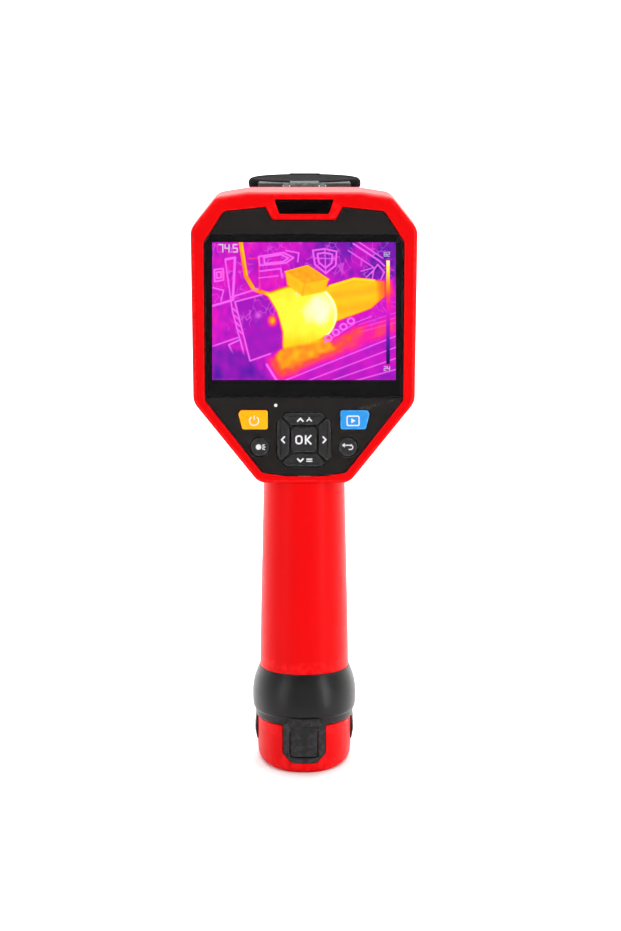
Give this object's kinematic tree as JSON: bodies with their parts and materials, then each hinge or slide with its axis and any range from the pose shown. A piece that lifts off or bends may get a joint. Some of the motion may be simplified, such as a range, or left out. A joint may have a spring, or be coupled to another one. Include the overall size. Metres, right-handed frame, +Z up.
{
  "type": "thermal imaging camera",
  "caption": "Pistol-grip thermal imaging camera with a tilted colour display, keypad, flip-up lens cover, trigger and slide-out battery foot.",
  "frame": {"origin": "centre of the tripod socket's mouth, on the plane the foot stands on", "axes": "+Z up the standing camera; +Y the way the lens looks, away from the user; +X to the user's right"},
  "size_m": [0.0878, 0.1372, 0.2236],
  "materials": {
    "red_shell": "fine satin texture",
    "panel_plastic": "matt charcoal",
    "display_glass": "polished, printed black round the picture",
    "lcd_panel": "backlit picture",
    "sheet_steel": "bright",
    "circuit_board": "solder-mask green",
    "chip": "matt",
    "screw_steel": "zinc plated",
    "spring_steel": "bright",
    "seal_rubber": "matt",
    "key_orange": "matt",
    "key_blue": "matt",
    "key_black": "matt",
    "led_lens": "clear",
    "cover_rubber": "matt",
    "barrel_plastic": "fine satin texture",
    "lens_germanium": "coated",
    "ring_alloy": "black anodised",
    "module_plastic": "satin",
    "sensor_gold": "gold plated",
    "window_glass": "polished",
    "trigger_plastic": "satin",
    "collar_plastic": "soft satin",
    "bay_plastic": "satin",
    "cell_wrap": "shrink wrap",
    "insert_brass": "turned"
  },
  "bodies": {
    "housing": {"rear_shell": "red_shell", "front_shell": "red_shell", "shell_seal": "seal_rubber", "shell_screws": "screw_steel", "keypad_panel": "panel_plastic", "display_glass": "display_glass", "lcd_module": "lcd_panel", "lcd_bracket": "sheet_steel", "main_board": "circuit_board", "board_chips": "chip", "key_board": "circuit_board", "key_domes": "spring_steel", "status_led": "led_lens", "port_board": "circuit_board", "usb_socket": "sheet_steel", "lens_barrel": "barrel_plastic", "front_lens": "lens_germanium", "lens_ring": "ring_alloy", "rear_lens": "lens_germanium", "lens_seal": "seal_rubber", "shutter_unit": "module_plastic", "detector": "sensor_gold", "detector_board": "circuit_board", "cover_pin": "screw_steel", "camera_module": "module_plastic", "camera_window": "window_glass", "torch_led": "module_plastic", "torch_window": "window_glass", "trigger_pin": "screw_steel", "trigger_spring": "spring_steel", "trigger_switch": "chip", "trigger_board": "circuit_board", "grip_collar": "collar_plastic", "battery_sleeve": "bay_plastic", "contact_block": "bay_plastic", "tab_pin": "screw_steel"},
    "battery_foot": {"battery_cup": "red_shell", "battery_stem": "bay_plastic", "battery_cell": "cell_wrap", "battery_contacts": "sensor_gold", "charge_board": "circuit_board", "tripod_insert": "insert_brass", "latch_spring_left": "spring_steel", "latch_spring_right": "spring_steel"},
    "power_key": {"power_key": "key_orange"},
    "gallery_key": {"gallery_key": "key_blue"},
    "up_key": {"up_key": "key_black"},
    "down_key": {"down_key": "key_black"},
    "left_key": {"left_key": "key_black"},
    "right_key": {"right_key": "key_black"},
    "ok_key": {"ok_key": "key_black"},
    "light_key": {"light_key": "key_black"},
    "back_key": {"back_key": "key_black"},
    "trigger": {"trigger": "trigger_plastic"},
    "lens_cover": {"lens_cover": "cover_rubber"},
    "port_cover": {"port_cover": "cover_rubber"},
    "rear_tab": {"rear_tab": "collar_plastic"},
    "latch_left": {"latch_left": "collar_plastic"},
    "latch_right": {"latch_right": "collar_plastic"}
  },
  "joints": [
    {"name": "power_key_press", "type": "slide", "parent": "housing", "child": "power_key", "axis": [0, 0.9781, -0.2079], "range_m": [0, 0.0007], "stiffness_N_per_m": 2000},
    {"name": "gallery_key_press", "type": "slide", "parent": "housing", "child": "gallery_key", "axis": [0, 0.9781, -0.2079], "range_m": [0, 0.0007], "stiffness_N_per_m": 2000},
    {"name": "up_key_press", "type": "slide", "parent": "housing", "child": "up_key", "axis": [0, 0.9781, -0.2079], "range_m": [0, 0.0007], "stiffness_N_per_m": 2000},
    {"name": "down_key_press", "type": "slide", "parent": "housing", "child": "down_key", "axis": [0, 0.9781, -0.2079], "range_m": [0, 0.0007], "stiffness_N_per_m": 2000},
    {"name": "left_key_press", "type": "slide", "parent": "housing", "child": "left_key", "axis": [0, 0.9781, -0.2079], "range_m": [0, 0.0007], "stiffness_N_per_m": 2000},
    {"name": "right_key_press", "type": "slide", "parent": "housing", "child": "right_key", "axis": [0, 0.9781, -0.2079], "range_m": [0, 0.0007], "stiffness_N_per_m": 2000},
    {"name": "ok_key_press", "type": "slide", "parent": "housing", "child": "ok_key", "axis": [0, 0.9781, -0.2079], "range_m": [0, 0.0007], "stiffness_N_per_m": 2000},
    {"name": "light_key_press", "type": "slide", "parent": "housing", "child": "light_key", "axis": [0, 0.9781, -0.2079], "range_m": [0, 0.0007], "stiffness_N_per_m": 2000},
    {"name": "back_key_press", "type": "slide", "parent": "housing", "child": "back_key", "axis": [0, 0.9781, -0.2079], "range_m": [0, 0.0007], "stiffness_N_per_m": 2000},
    {"name": "trigger_pull", "type": "hinge", "parent": "housing", "child": "trigger", "pos_m": [0, 0.02549, 0.1365], "axis": [-1, 0, 0], "range_deg": [0, 7], "stiffness_Nm_per_rad": 0.8, "springref_deg": -1.72, "deforming": ["trigger_spring"]},
    {"name": "lens_cover_hinge", "type": "hinge", "parent": "housing", "child": "lens_cover", "pos_m": [0, 0.0583, 0.2211], "axis": [1, 0, 0], "range_deg": [-90, 0]},
    {"name": "port_cover_hinge", "type": "hinge", "parent": "housing", "child": "port_cover", "pos_m": [0, 0.01088, 0.21944], "axis": [-1, 0, 0], "range_deg": [0, 90]},
    {"name": "battery_slide", "type": "slide", "parent": "housing", "child": "battery_foot", "axis": [0, -0.0872, -0.9962], "range_m": [0, 0.09]},
    {"name": "rear_tab_press", "type": "hinge", "parent": "housing", "child": "rear_tab", "pos_m": [0, -0.02228, 0.01721], "axis": [1, 0, 0], "range_deg": [0, 5], "stiffness_Nm_per_rad": 0.4},
    {"name": "latch_left_press", "type": "slide", "parent": "battery_foot", "child": "latch_left", "axis": [1, 0, 0], "range_m": [0, 0.0008], "stiffness_N_per_m": 3000, "deforming": ["latch_spring_left"]},
    {"name": "latch_right_press", "type": "slide", "parent": "battery_foot", "child": "latch_right", "axis": [-1, 0, 0], "range_m": [0, 0.0008], "stiffness_N_per_m": 3000, "deforming": ["latch_spring_right"]}
  ]
}
